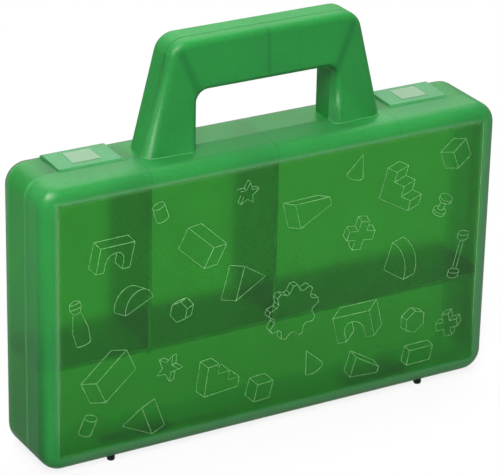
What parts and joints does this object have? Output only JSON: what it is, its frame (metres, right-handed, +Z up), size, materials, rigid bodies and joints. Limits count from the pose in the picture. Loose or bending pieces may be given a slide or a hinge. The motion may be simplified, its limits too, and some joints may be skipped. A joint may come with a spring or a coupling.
{
  "type": "toy brick sorting case",
  "caption": "Upright translucent plastic carry case: hinged see-through lid, hollow two-half handle, snap latches and dividers that split the inside into compartments.",
  "frame": {"origin": "middle of the case on the surface that its feet stand on", "axes": "+X across the width, to the right seen from the lid; +Y to the back, so the lid faces -Y; +Z up, with the handle on top"},
  "size_m": [0.275, 0.049, 0.2238],
  "materials": {
    "case_plastic": "frosted translucent green, clear inside the panel border",
    "divider_plastic": "smooth translucent green",
    "latch_plastic": "frosted translucent green with a pale bare plaque",
    "pin_steel": "drawn wire"
  },
  "bodies": {
    "tray": {"rear_shell": "case_plastic", "hinge_pin_left": "pin_steel", "hinge_pin_right": "pin_steel", "long_divider": "divider_plastic", "short_divider_left": "divider_plastic", "short_divider_middle": "divider_plastic"},
    "lid": {"front_shell": "case_plastic"},
    "left_latch": {"latch_left": "latch_plastic"},
    "right_latch": {"latch_right": "latch_plastic"}
  },
  "joints": [
    {"name": "lid_hinge", "type": "hinge", "parent": "tray", "child": "lid", "pos_m": [0, -0.003, 0.0018], "axis": [1, 0, 0], "range_deg": [0, 160]},
    {"name": "left_latch_hinge", "type": "hinge", "parent": "tray", "child": "left_latch", "pos_m": [-0.09935, 0.0168, 0.1612], "axis": [-1, 0, 0], "range_deg": [0, 95]},
    {"name": "right_latch_hinge", "type": "hinge", "parent": "tray", "child": "right_latch", "pos_m": [0.09935, 0.0168, 0.1612], "axis": [-1, 0, 0], "range_deg": [0, 95]}
  ]
}
